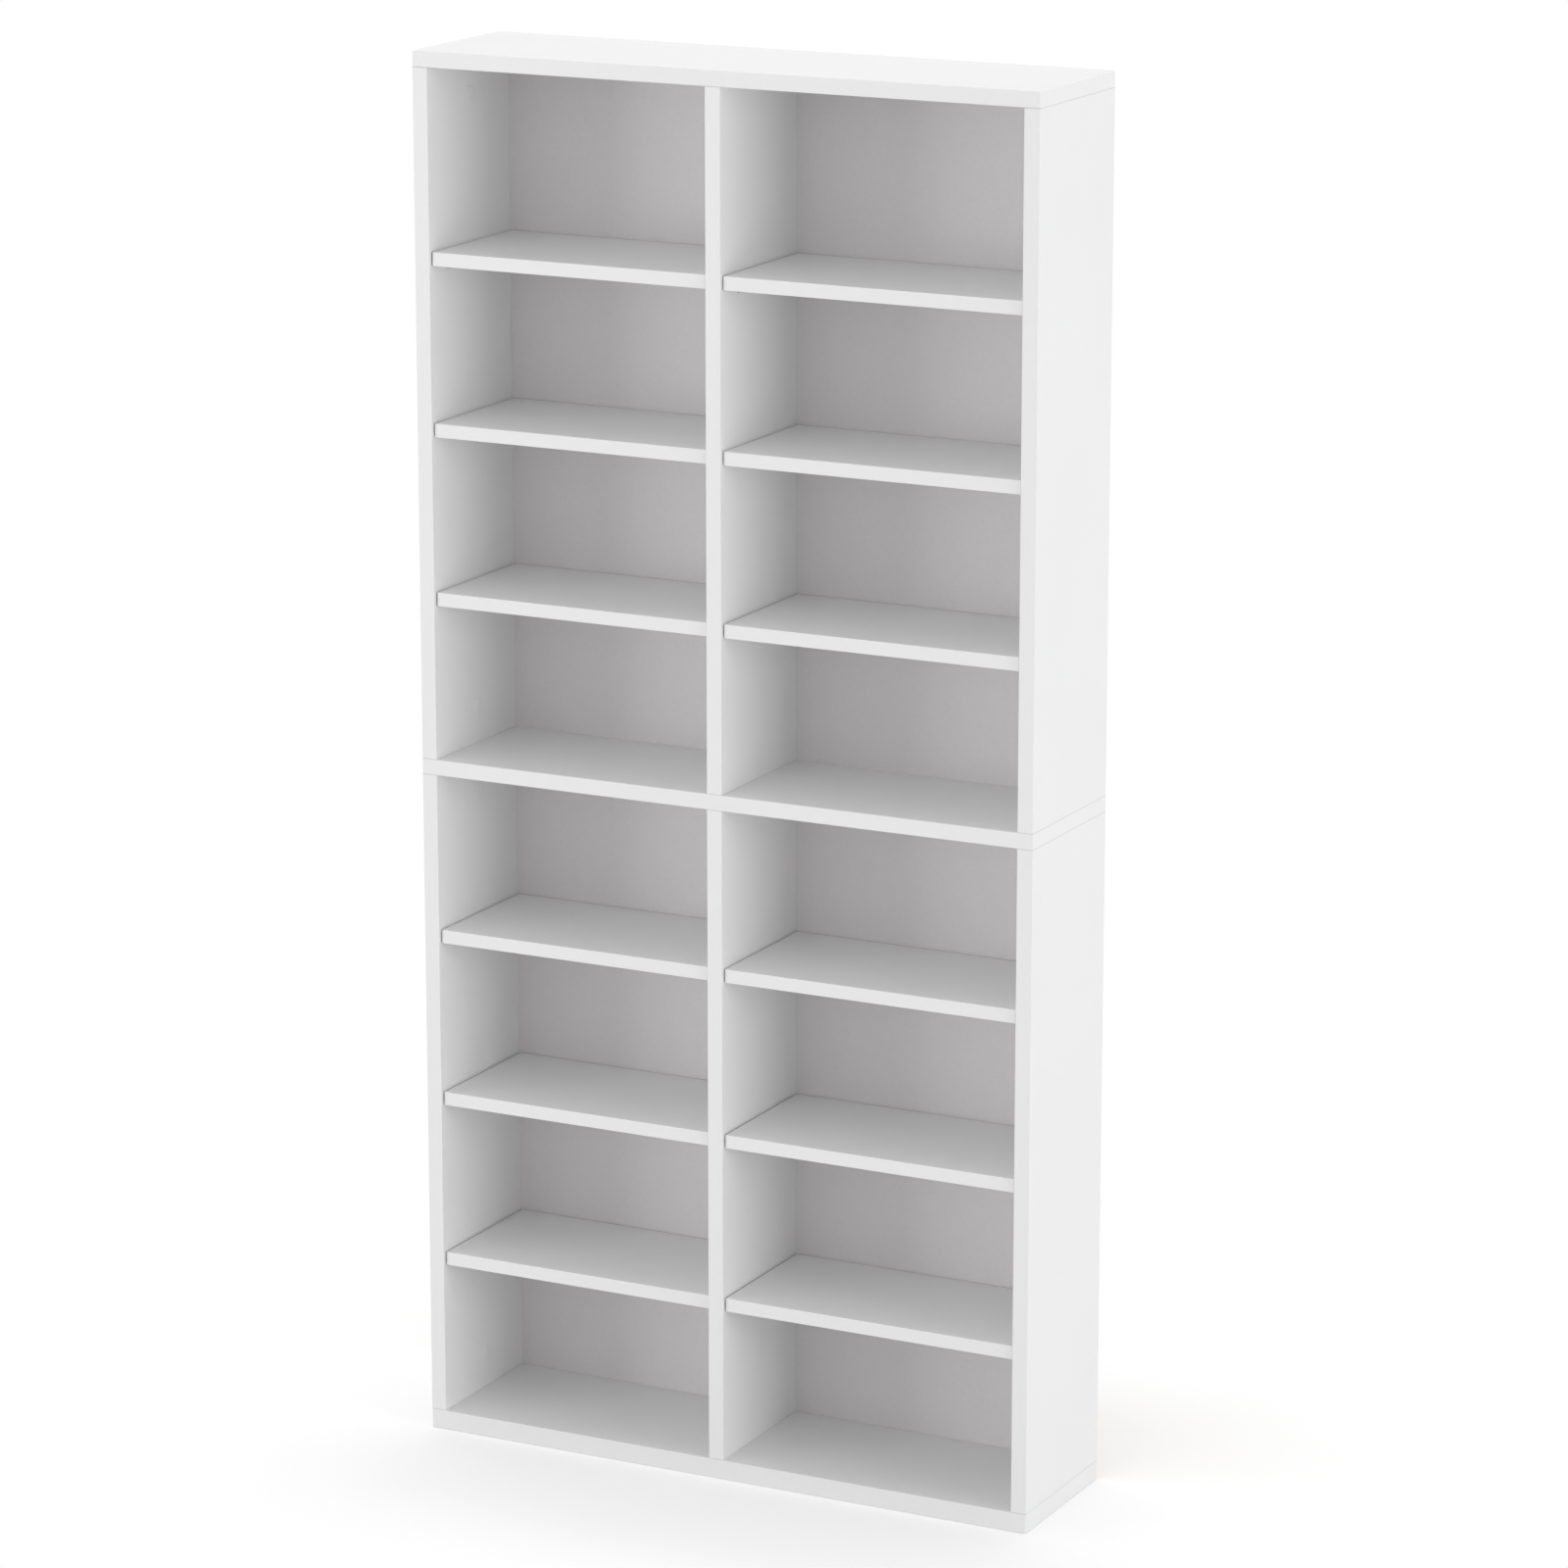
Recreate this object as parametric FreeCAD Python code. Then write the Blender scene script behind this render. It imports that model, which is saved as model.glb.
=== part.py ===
import FreeCAD, Part
import math
import os
from collections import namedtuple

# Tall media bookcase: two modules stacked on a shared middle board, two columns of
# compartments, twelve loose shelves on support pins, boards joined by cam locks and dowels.
# All lengths are millimetres. X runs to the right, Y to the back and Z up.
# The origin lies on the floor under the middle of the case.
# The many small round fittings and their bores have flats, so that they stay light.

# Flats around a cam lock or cover, and around a pin, bolt or dowel
CAM_SIDES = 12
ROD_SIDES = 8

# Case boards
WIDTH = 630.0
DEPTH = 160.0
BOARD = 15.0
BASE_BOARD = 19.0
LOWER_UPRIGHT = 631.0
UPPER_UPRIGHT = 650.0
DIVIDER_SHIFT = -6.0

# Back panels, held in grooves
PANEL = 3.0
PANEL_TO_REAR = 6.0
PANEL_PLAY = 0.2
GROOVE_DEPTH = 5.0
PANEL_EDGE_GAP = 1.0

# Loose shelves
SHELF = 13.0
SHELF_SETBACK = 3.0
SHELF_END_GAP = 1.5
SHELF_REAR_GAP = 0.6
SHELVES_PER_STACK = 3
FIRST_SHELF = 147.0
SHELF_PITCH = 160.0

# Shelf support pins
PIN_RADIUS = 2.5
PIN_CLEARANCE = 0.1
PIN_INSET = 35.0
PIN_WEB = 2.0
PIN_END_PLAY = 0.3
TONGUE_REACH = 8.0
TONGUE_WIDTH = 6.0
TONGUE_TIP = 1.6
TONGUE_ROOT = 2.0
TONGUE_HEIGHT = 6.5

# Cam locks and their covers
CAM_RADIUS = 7.35
CAM_CLEARANCE = 0.15
CAM_INSET = 34.0
CAM_ROW = 0.0
CAM_FLOOR = 3.0
CAM_PLAY = 0.1
POCKET_RADIUS = 4.8
POCKET_SHIFT = 0.8
POCKET_HEIGHT = 7.0
SLOT_WIDTH = 4.4
SLOT_SWEEP_ANGLE = 150.0
SLOT_OVERRUN_ANGLE = 50.0
ENTRY_PLAY = 0.3
CROSS_REACH = 3.0
CROSS_WIDTH = 1.4
CROSS_DEPTH = 2.0
COVER_RADIUS = 8.5
COVER_THICKNESS = 0.8
PEG_PLAY = 0.2

# Cam bolts
HEAD_RADIUS = 3.3
CONE_LENGTH = 1.4
HEAD_LENGTH = 3.4
SEAT_PLAY = 0.04
NECK_RADIUS = 1.7
NECK_LENGTH = 5.0
SHANK_RADIUS = 2.3
COLLAR_RADIUS = 3.5
COLLAR = 1.5
THREAD_RADIUS = 2.5
THREAD_CLEARANCE = 0.1
THREAD_END_GAP = 0.5
PILOT_FLOOR = 4.0
CHANNEL_RADIUS = 4.0
LINK_RADIUS = 3.0
LINK_CLEARANCE = 0.2

# Wooden dowels
DOWEL_SPREAD = 80.0
DOWEL_RADIUS = 4.0
DOWEL_CLEARANCE = 0.1
DOWEL_IN_UPRIGHT = 20.0
DOWEL_END_GAP = 0.5
DOWEL_FLOOR = 5.0
DOWEL_CHAMFER = 1.0

# Levels and planes that follow from the sizes above
BASE_TOP = BASE_BOARD
LOWER_TOP = BASE_TOP + LOWER_UPRIGHT
MIDDLE_TOP = LOWER_TOP + BOARD
UPPER_TOP = MIDDLE_TOP + UPPER_UPRIGHT
HEIGHT = UPPER_TOP + BOARD
FRONT = -DEPTH / 2
REAR = DEPTH / 2
LEFT = -WIDTH / 2
RIGHT = WIDTH / 2
PANEL_FRONT = REAR - PANEL_TO_REAR - PANEL
DIVIDER_LEFT = DIVIDER_SHIFT - BOARD / 2
DIVIDER_RIGHT = DIVIDER_SHIFT + BOARD / 2
DOWEL_ROWS = (-DOWEL_SPREAD / 2, DOWEL_SPREAD / 2)
PIN_ROWS = (FRONT + PIN_INSET, REAR - PIN_INSET)
PIN_HOLE = (BOARD - PIN_WEB) / 2
CAM_BORE = BOARD - CAM_FLOOR
PILOT_DEPTH = BOARD - PILOT_FLOOR
DOWEL_IN_BOARD = BOARD - DOWEL_FLOOR

# Compartment walls per column: left wall plane and right wall plane
COLUMNS = {
    "left": (LEFT + BOARD, DIVIDER_LEFT),
    "right": (DIVIDER_RIGHT, RIGHT - BOARD),
}

# Modules: floor level of the uprights and their length
MODULES = {
    "lower": (BASE_TOP, LOWER_UPRIGHT),
    "upper": (MIDDLE_TOP, UPPER_UPRIGHT),
}

# Uprights; a face is -1 where it looks left, +1 where it looks right, 0 for none
Upright = namedtuple("Upright", "left_plane rear_plane cam_face pin_faces groove_face")
UPRIGHTS = {
    "left_side": Upright(LEFT, REAR, 1, (1,), 1),
    "divider": Upright(DIVIDER_LEFT, PANEL_FRONT, -1, (-1, 1), 0),
    "right_side": Upright(RIGHT - BOARD, REAR, -1, (-1,), -1),
}


def vec(x, y, z):
    """Short form of a vector."""
    return FreeCAD.Vector(x, y, z)


def block(x0, x1, y0, y1, z0, z1):
    """Box between two corners, whichever order the limits come in."""
    low = vec(min(x0, x1), min(y0, y1), min(z0, z1))
    return Part.makeBox(abs(x1 - x0), abs(y1 - y0), abs(z1 - z0), low)


def outline(radius, level, sides):
    """Regular outline around the Z axis, its corners on a circle, flats square to X and Y."""
    step = 2 * math.pi / sides
    angles = [step * (corner + 0.5) for corner in range(sides + 1)]
    points = [vec(radius * math.cos(turn), radius * math.sin(turn), level) for turn in angles]
    return Part.makePolygon(points)


def turned(profile, sides):
    """Solid around the Z axis from (level, radius) pairs, lowest first."""
    stages = []
    for (low, low_radius), (high, high_radius) in zip(profile, profile[1:]):
        if high > low:
            ends = [outline(low_radius, low, sides), outline(high_radius, high, sides)]
            stages.append(Part.makeLoft(ends, True, True))
    if len(stages) == 1:
        return stages[0]
    return stages[0].fuse(stages[1:]).removeSplitter()


def rod(radius, start, direction, length, sides=ROD_SIDES):
    """Straight bar from a start point along one of the main directions."""
    bar = turned([(0, radius), (length, radius)], sides)
    bar.Placement = FreeCAD.Placement(start, FreeCAD.Rotation(vec(0, 0, 1), direction))
    return bar


def cross(reach, width, low, high):
    """Cross around the Z axis between two levels, for the driver."""
    bar = block(-reach, reach, -width / 2, width / 2, low, high)
    return bar.fuse(block(-width / 2, width / 2, -reach, reach, low, high)).removeSplitter()


def face_plane(left_plane, face):
    """X of an upright's left or right face."""
    if face > 0:
        return left_plane + BOARD
    return left_plane


def shelf_levels(module):
    """Undersides of a module's shelves, lowest first."""
    floor = MODULES[module][0]
    return [floor + FIRST_SHELF + SHELF_PITCH * step for step in range(SHELVES_PER_STACK)]


def upright_ends(module):
    """Both ends of a module's uprights: end level and the direction into the upright."""
    floor, length = MODULES[module]
    return [(floor, 1), (floor + length, -1)]


def make_upright(kind, module):
    """One upright with its cam bores, bolt channels, dowel bores, pin holes and groove."""
    upright = UPRIGHTS[kind]
    floor, length = MODULES[module]
    left_plane = upright.left_plane
    middle = left_plane + BOARD / 2
    body = block(left_plane, left_plane + BOARD, FRONT, upright.rear_plane, floor, floor + length)
    cuts = []
    mouth = face_plane(left_plane, upright.cam_face)
    into_face = vec(-upright.cam_face, 0, 0)
    cam_bore = CAM_RADIUS + CAM_CLEARANCE
    dowel_bore = DOWEL_RADIUS + DOWEL_CLEARANCE
    dowel_depth = DOWEL_IN_UPRIGHT + DOWEL_END_GAP
    for level, inward in upright_ends(module):
        into_end = vec(0, 0, inward)
        centre = vec(mouth, CAM_ROW, level + inward * CAM_INSET)
        cuts.append(rod(cam_bore, centre, into_face, CAM_BORE, CAM_SIDES))
        cuts.append(rod(CHANNEL_RADIUS, vec(middle, CAM_ROW, level), into_end, CAM_INSET))
        for row in DOWEL_ROWS:
            cuts.append(rod(dowel_bore, vec(middle, row, level), into_end, dowel_depth))
    for face in upright.pin_faces:
        plane = face_plane(left_plane, face)
        for underside in shelf_levels(module):
            for row in PIN_ROWS:
                centre = vec(plane, row, underside - PIN_RADIUS)
                cuts.append(rod(PIN_RADIUS + PIN_CLEARANCE, centre, vec(-face, 0, 0), PIN_HOLE))
    if upright.groove_face:
        plane = face_plane(left_plane, upright.groove_face)
        groove_floor = plane - upright.groove_face * GROOVE_DEPTH
        groove_rear = PANEL_FRONT + PANEL + PANEL_PLAY
        cuts.append(block(plane, groove_floor, PANEL_FRONT, groove_rear, floor, floor + length))
    return body.cut(cuts)


def board_groove(face_level, outward):
    """Cutter for the stopped groove in a board's upper (+1) or lower (-1) face."""
    reach = WIDTH / 2 - BOARD + GROOVE_DEPTH
    rear = PANEL_FRONT + PANEL + PANEL_PLAY
    return block(-reach, reach, PANEL_FRONT, rear, face_level, face_level - outward * GROOVE_DEPTH)


def board_bores(bolt_radius, level, into, bolt_depth, dowel_depth):
    """Cutters for the bolt and dowel bores that a board has at every upright."""
    cuts = []
    dowel_bore = DOWEL_RADIUS + DOWEL_CLEARANCE
    for upright in UPRIGHTS.values():
        middle = upright.left_plane + BOARD / 2
        cuts.append(rod(bolt_radius, vec(middle, CAM_ROW, level), into, bolt_depth))
        for row in DOWEL_ROWS:
            cuts.append(rod(dowel_bore, vec(middle, row, level), into, dowel_depth))
    return cuts


def make_end_board(low, high, face_level, outward):
    """Bottom or top board, drilled in the face that meets the uprights."""
    body = block(LEFT, RIGHT, FRONT, REAR, low, high)
    pilot = THREAD_RADIUS + THREAD_CLEARANCE
    into = vec(0, 0, -outward)
    bores = board_bores(pilot, face_level, into, PILOT_DEPTH, DOWEL_IN_BOARD)
    return body.cut([board_groove(face_level, outward)] + bores)


def make_middle_board():
    """Board between the modules, grooved on both faces and drilled right through."""
    body = block(LEFT, RIGHT, FRONT, REAR, LOWER_TOP, MIDDLE_TOP)
    grooves = [board_groove(LOWER_TOP, -1), board_groove(MIDDLE_TOP, 1)]
    bores = board_bores(LINK_RADIUS + LINK_CLEARANCE, LOWER_TOP, vec(0, 0, 1), BOARD, BOARD)
    return body.cut(grooves + bores)


def make_back_panel(module):
    """Thin back panel: its foot stands in the lower groove, its other edges have a gap."""
    floor, length = MODULES[module]
    reach = WIDTH / 2 - BOARD + GROOVE_DEPTH - PANEL_EDGE_GAP
    top = floor + length + GROOVE_DEPTH - PANEL_EDGE_GAP
    return block(-reach, reach, PANEL_FRONT, PANEL_FRONT + PANEL, floor - GROOVE_DEPTH, top)


def make_shelf(column, underside):
    """Loose shelf lying on four pins, set back from the front edges of the case."""
    wall_left, wall_right = COLUMNS[column]
    left = wall_left + SHELF_END_GAP
    right = wall_right - SHELF_END_GAP
    front = FRONT + SHELF_SETBACK
    rear = PANEL_FRONT - SHELF_REAR_GAP
    return block(left, right, front, rear, underside, underside + SHELF)


def make_pin(plane, face, row, underside):
    """Support pin: shank in the hole, flat-topped tongue with a gusset under it."""
    axis_start = vec(plane, row, underside - PIN_RADIUS)
    shank = rod(PIN_RADIUS, axis_start, vec(-face, 0, 0), PIN_HOLE - PIN_END_PLAY)
    profile = [
        (0, 0),
        (TONGUE_REACH, 0),
        (TONGUE_REACH, -TONGUE_TIP),
        (TONGUE_ROOT, -TONGUE_HEIGHT),
        (0, -TONGUE_HEIGHT),
        (0, 0),
    ]
    start = row - TONGUE_WIDTH / 2
    points = [vec(plane + face * out, start, underside + drop) for out, drop in profile]
    tongue = Part.Face(Part.makePolygon(points)).extrude(vec(0, TONGUE_WIDTH, 0))
    return shank.fuse(tongue).removeSplitter()


def cone_level():
    """Distance from the upright's end to the foot of the bolt's cone, as it bears on the cam.

    The edges of the cam's slot meet the flats of the cone just inside the pocket's wall.
    """
    pocket_wall = POCKET_RADIUS * math.cos(math.pi / CAM_SIDES) - POCKET_SHIFT
    touching_radius = SLOT_WIDTH / 2 / math.cos(math.pi / ROD_SIDES)
    up_the_cone = CONE_LENGTH * (touching_radius - NECK_RADIUS) / (HEAD_RADIUS - NECK_RADIUS)
    return CAM_INSET - pocket_wall + SEAT_PLAY - up_the_cone


def make_cam():
    """Cam lock, mouth of its bore at the origin, +Z out of the face, +X towards the bolt.

    The round pocket is off centre, so the jaws either side of the slot come closer to the
    cam's axis as it turns, and pull the bolt's head towards the axis. It is drawn locked.
    """
    axis_depth = -BOARD / 2
    top = -CAM_PLAY
    up = vec(0, 0, 1)
    body = rod(CAM_RADIUS, vec(0, 0, -CAM_BORE), up, top + CAM_BORE, CAM_SIDES)
    pocket_floor = vec(-POCKET_SHIFT, 0, axis_depth - POCKET_HEIGHT / 2)
    pocket = rod(POCKET_RADIUS, pocket_floor, up, POCKET_HEIGHT, CAM_SIDES)
    reach = CAM_RADIUS * 2
    slot_low = axis_depth - SLOT_WIDTH / 2
    corners = [vec(0, 0, slot_low)]
    middle_angle = (SLOT_SWEEP_ANGLE - SLOT_OVERRUN_ANGLE) / 2
    for angle in (-SLOT_OVERRUN_ANGLE, middle_angle, SLOT_SWEEP_ANGLE):
        turn = math.radians(angle)
        corners.append(vec(reach * math.cos(turn), reach * math.sin(turn), slot_low))
    corners.append(corners[0])
    slot = Part.Face(Part.makePolygon(corners)).extrude(vec(0, 0, SLOT_WIDTH))
    entry = rod(HEAD_RADIUS + ENTRY_PLAY, vec(0, 0, axis_depth), vec(-1, 0, 0), reach)
    driver = cross(CROSS_REACH, CROSS_WIDTH, top - CROSS_DEPTH, top)
    return body.cut([pocket, slot, entry, driver])


def make_cover():
    """Thin cap over a cam lock and the rim of its bore, its cross peg in the driver recess."""
    disc = rod(COVER_RADIUS, vec(0, 0, 0), vec(0, 0, 1), COVER_THICKNESS, CAM_SIDES)
    peg_end = PEG_PLAY - CAM_PLAY - CROSS_DEPTH
    peg = cross(CROSS_REACH - PEG_PLAY, CROSS_WIDTH - PEG_PLAY, peg_end, 0)
    return disc.fuse(peg).removeSplitter()


def bolt_profile():
    """Shank, neck, cone and head of a cam bolt, above the board's face at level zero."""
    cone = cone_level()
    return [
        (0, SHANK_RADIUS),
        (cone - NECK_LENGTH, SHANK_RADIUS),
        (cone - NECK_LENGTH, NECK_RADIUS),
        (cone, NECK_RADIUS),
        (cone + CONE_LENGTH, HEAD_RADIUS),
        (cone + HEAD_LENGTH, HEAD_RADIUS),
    ]


def make_end_bolt():
    """Cam bolt screwed into a board: thread below the face, collar on it."""
    thread = [(THREAD_END_GAP - PILOT_DEPTH, THREAD_RADIUS), (0, THREAD_RADIUS)]
    collar = [(0, COLLAR_RADIUS), (COLLAR, COLLAR_RADIUS), (COLLAR, SHANK_RADIUS)]
    return turned(thread + collar + bolt_profile()[1:], ROD_SIDES)


def make_link_bolt():
    """Double-ended cam bolt through the middle board, origin at the board's lower face."""
    above = [(BOARD + level, radius) for level, radius in bolt_profile()]
    below = [(-level, radius) for level, radius in reversed(bolt_profile())]
    link = [(0, LINK_RADIUS), (BOARD, LINK_RADIUS)]
    return turned(below + link + above, ROD_SIDES)


def make_dowel(low, high):
    """Wooden dowel between two levels, its ends chamfered, at the origin in X and Y."""
    tip = DOWEL_RADIUS - DOWEL_CHAMFER
    profile = [
        (low, tip),
        (low + DOWEL_CHAMFER, DOWEL_RADIUS),
        (high - DOWEL_CHAMFER, DOWEL_RADIUS),
        (high, tip),
    ]
    return turned(profile, ROD_SIDES)


def placed(shape, origin, x_way, z_way):
    """Copy of a shape drawn at the origin, moved so its X and Z point the given ways."""
    y_way = z_way.cross(x_way)
    copy = shape.copy()
    copy.Placement = FreeCAD.Placement(origin, FreeCAD.Rotation(x_way, y_way, z_way, "ZXY"))
    return copy


def cam_group(shape, module):
    """Copies of a cam lock or cover in every cam bore of a module."""
    copies = []
    for upright in UPRIGHTS.values():
        mouth = face_plane(upright.left_plane, upright.cam_face)
        for level, inward in upright_ends(module):
            origin = vec(mouth, CAM_ROW, level + inward * CAM_INSET)
            to_bolt = vec(0, 0, -inward)
            copies.append(placed(shape, origin, to_bolt, vec(upright.cam_face, 0, 0)))
    return Part.makeCompound(copies)


def board_group(shape, level, upward, rows):
    """Copies of a bolt or dowel under or over every upright, at the given depth rows."""
    copies = []
    for upright in UPRIGHTS.values():
        for row in rows:
            origin = vec(upright.left_plane + BOARD / 2, row, level)
            copies.append(placed(shape, origin, vec(1, 0, 0), vec(0, 0, upward)))
    return Part.makeCompound(copies)


def pin_group(module):
    """All shelf pins of a module."""
    pins = []
    for wall_left, wall_right in COLUMNS.values():
        for underside in shelf_levels(module):
            for row in PIN_ROWS:
                pins.append(make_pin(wall_left, 1, row, underside))
                pins.append(make_pin(wall_right, -1, row, underside))
    return Part.makeCompound(pins)


def build_nodes():
    """Every node of the bookcase by name."""
    nodes = {
        "bottom_board": make_end_board(0, BASE_TOP, BASE_TOP, 1),
        "middle_board": make_middle_board(),
        "top_board": make_end_board(UPPER_TOP, HEIGHT, UPPER_TOP, -1),
    }
    cam = make_cam()
    cover = make_cover()
    for module in MODULES:
        for kind in UPRIGHTS:
            nodes[module + "_" + kind] = make_upright(kind, module)
        nodes[module + "_back_panel"] = make_back_panel(module)
        for column in COLUMNS:
            for step, underside in enumerate(shelf_levels(module), start=1):
                name = "shelf_%s_%s_%d" % (module, column, step)
                nodes[name] = make_shelf(column, underside)
        nodes[module + "_shelf_pins"] = pin_group(module)
        nodes[module + "_cam_locks"] = cam_group(cam, module)
        nodes[module + "_cam_covers"] = cam_group(cover, module)
    end_bolt = make_end_bolt()
    nodes["foot_bolts"] = board_group(end_bolt, BASE_TOP, 1, (CAM_ROW,))
    nodes["head_bolts"] = board_group(end_bolt, UPPER_TOP, -1, (CAM_ROW,))
    nodes["link_bolts"] = board_group(make_link_bolt(), LOWER_TOP, 1, (CAM_ROW,))
    end_dowel = make_dowel(DOWEL_END_GAP - DOWEL_IN_BOARD, DOWEL_IN_UPRIGHT)
    link_dowel = make_dowel(-DOWEL_IN_UPRIGHT, BOARD + DOWEL_IN_UPRIGHT)
    nodes["foot_dowels"] = board_group(end_dowel, BASE_TOP, 1, DOWEL_ROWS)
    nodes["head_dowels"] = board_group(end_dowel, UPPER_TOP, -1, DOWEL_ROWS)
    nodes["link_dowels"] = board_group(link_dowel, LOWER_TOP, 1, DOWEL_ROWS)
    return nodes


os.makedirs("parts", exist_ok=True)
for node_name, node_shape in build_nodes().items():
    node_shape.exportStep("parts/%s.step" % node_name)
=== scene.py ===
import logging
import math
from dataclasses import dataclass, field
from enum import Enum

import bmesh
import bpy
from mathutils import Matrix, Vector


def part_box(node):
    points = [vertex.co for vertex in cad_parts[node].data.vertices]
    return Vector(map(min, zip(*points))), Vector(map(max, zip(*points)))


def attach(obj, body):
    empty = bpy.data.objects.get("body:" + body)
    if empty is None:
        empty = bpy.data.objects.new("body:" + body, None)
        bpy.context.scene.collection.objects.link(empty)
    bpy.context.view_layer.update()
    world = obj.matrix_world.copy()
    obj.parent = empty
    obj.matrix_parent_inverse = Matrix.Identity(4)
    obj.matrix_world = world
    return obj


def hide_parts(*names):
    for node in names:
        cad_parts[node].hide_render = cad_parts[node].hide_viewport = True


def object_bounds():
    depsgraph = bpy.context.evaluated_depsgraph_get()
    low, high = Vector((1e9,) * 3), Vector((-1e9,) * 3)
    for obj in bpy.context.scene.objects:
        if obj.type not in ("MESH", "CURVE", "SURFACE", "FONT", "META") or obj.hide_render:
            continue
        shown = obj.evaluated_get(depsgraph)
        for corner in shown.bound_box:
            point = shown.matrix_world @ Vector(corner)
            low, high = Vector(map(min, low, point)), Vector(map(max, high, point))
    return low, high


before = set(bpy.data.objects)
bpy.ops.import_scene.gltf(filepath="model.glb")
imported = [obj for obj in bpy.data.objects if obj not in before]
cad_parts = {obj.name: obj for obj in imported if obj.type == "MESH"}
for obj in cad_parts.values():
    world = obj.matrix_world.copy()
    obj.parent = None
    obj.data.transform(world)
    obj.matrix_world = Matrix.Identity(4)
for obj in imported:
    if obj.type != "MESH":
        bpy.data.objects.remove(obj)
CAD_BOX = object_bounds()

BMesh = bmesh.types.BMesh
Node = bpy.types.Node
Socket = bpy.types.NodeSocket
Tree = bpy.types.NodeTree
Colour = tuple[float, float, float, float]
# Colour, roughness and height of a surface
Surface = tuple[Socket | Colour, Socket | float, Socket]

MM_PER_M = 1000.0
QUARTERS = 4
QUARTER_TURN = math.tau / QUARTERS
# A bevel of this profile is a quarter of a circle
ROUND_PROFILE = 0.5
# The sRGB curve is straight up to the knee and a power above it
SRGB_KNEE, SRGB_SLOPE, SRGB_OFFSET, SRGB_POWER = 0.04045, 12.92, 0.055, 2.4
HEX_MAX = 255
# How many times a noise is laid over itself at half the size
SOFT, CLOUDY, GRAINY, WOODY, FELTED = 2.0, 3.0, 4.0, 5.0, 8.0
# A wave texture of scale 1 repeats every this many metres
WAVE_PERIOD = math.tau / 20.0
# Share of a unit normal above which a face counts as looking that way
FACING = 0.7
# The Mix node gives the same names to the sockets of numbers and of colours, so they go by place
SHARE = 0
NUMBER_A, NUMBER_B, NUMBER_OUT = 2, 3, 0
COLOUR_A, COLOUR_B, COLOUR_OUT = 6, 7, 2
SHELVES_PER_STACK = 3
LOG = logging.getLogger("bookcase")


class Module(Enum):
    """The two stacked halves of the bookcase."""

    LOWER = "lower"
    UPPER = "upper"


class Column(Enum):
    """The compartments to the left and to the right of the divider."""

    LEFT = "left"
    RIGHT = "right"


class Upright(Enum):
    """The boards that stand between two fixed boards."""

    LEFT_SIDE = "left_side"
    DIVIDER = "divider"
    RIGHT_SIDE = "right_side"


class Joint(Enum):
    """The rows of joints between the uprights and the boards across the case."""

    FOOT = "foot"
    LINK = "link"
    HEAD = "head"


class Facing(Enum):
    """Which way a face looks along the depth of the bookcase."""

    FRONT = -1
    REAR = 1


JOINT_BOARDS = {
    Joint.FOOT: "bottom_board",
    Joint.LINK: "middle_board",
    Joint.HEAD: "top_board",
}


def metres(size_mm: float) -> float:
    """Turn millimetres into metres."""
    return size_mm / MM_PER_M


def per_metre(size_mm: float) -> float:
    """Scale of a texture whose features have a real size in millimetres."""
    return MM_PER_M / size_mm


def to_linear(code: str) -> Colour:
    """Turn an sRGB hex colour into the linear colour that a shader takes.

    Args:
        code: Six hex digits after a hash sign.

    Returns:
        Red, green, blue and an alpha of one.
    """
    linear = []
    for level in bytes.fromhex(code[1:]):
        share = level / HEX_MAX
        curved = ((share + SRGB_OFFSET) / (1 + SRGB_OFFSET)) ** SRGB_POWER
        linear.append(share / SRGB_SLOPE if share <= SRGB_KNEE else curved)
    red, green, blue = linear
    return red, green, blue, 1.0


def add_node(tree: Tree, kind: str, inputs: dict | None = None, **settings: object) -> Node:
    """Add a node with its settings, values and links.

    Args:
        tree: Node tree that the node goes into.
        kind: Blender's name of the node type.
        inputs: Value or output socket for each input, by name or number.
        **settings: Properties of the node itself.

    Returns:
        The new node.
    """
    node = tree.nodes.new(kind)
    for name, value in settings.items():
        setattr(node, name, value)
    for key, value in (inputs or {}).items():
        if isinstance(value, Socket):
            tree.links.new(value, node.inputs[key])
        else:
            node.inputs[key].default_value = value
    return node


def clear_tree(owner: bpy.types.Material | bpy.types.World) -> Tree:
    """Turn on the nodes of a material or a world and take out the ones that it comes with.

    Args:
        owner: The material or the world.

    Returns:
        Its empty node tree.
    """
    owner.use_nodes = True
    owner.node_tree.nodes.clear()
    return owner.node_tree


def add_object(name: str, data: bpy.types.ID) -> bpy.types.Object:
    """Make an object and link it into the scene.

    Args:
        name: Name of the object.
        data: Its mesh, lamp or camera.

    Returns:
        The object.
    """
    made = bpy.data.objects.new(name, data)
    bpy.context.scene.collection.objects.link(made)
    return made


def blend(tree: Tree, share: Socket, under: Surface, over: Surface) -> Surface:
    """Lay one surface over another.

    Args:
        tree: Node tree of the material.
        share: How much of the upper one shows, from zero to one.
        under: The lower surface.
        over: The upper surface.

    Returns:
        The surface that they make together.
    """
    tones = {SHARE: share, COLOUR_A: under[0], COLOUR_B: over[0]}
    mixed = [add_node(tree, "ShaderNodeMix", tones, data_type="RGBA").outputs[COLOUR_OUT]]
    for low, high in zip(under[1:], over[1:]):
        numbers = {SHARE: share, NUMBER_A: low, NUMBER_B: high}
        mixed.append(add_node(tree, "ShaderNodeMix", numbers).outputs[NUMBER_OUT])
    colour, roughness, height = mixed
    return colour, roughness, height


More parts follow.
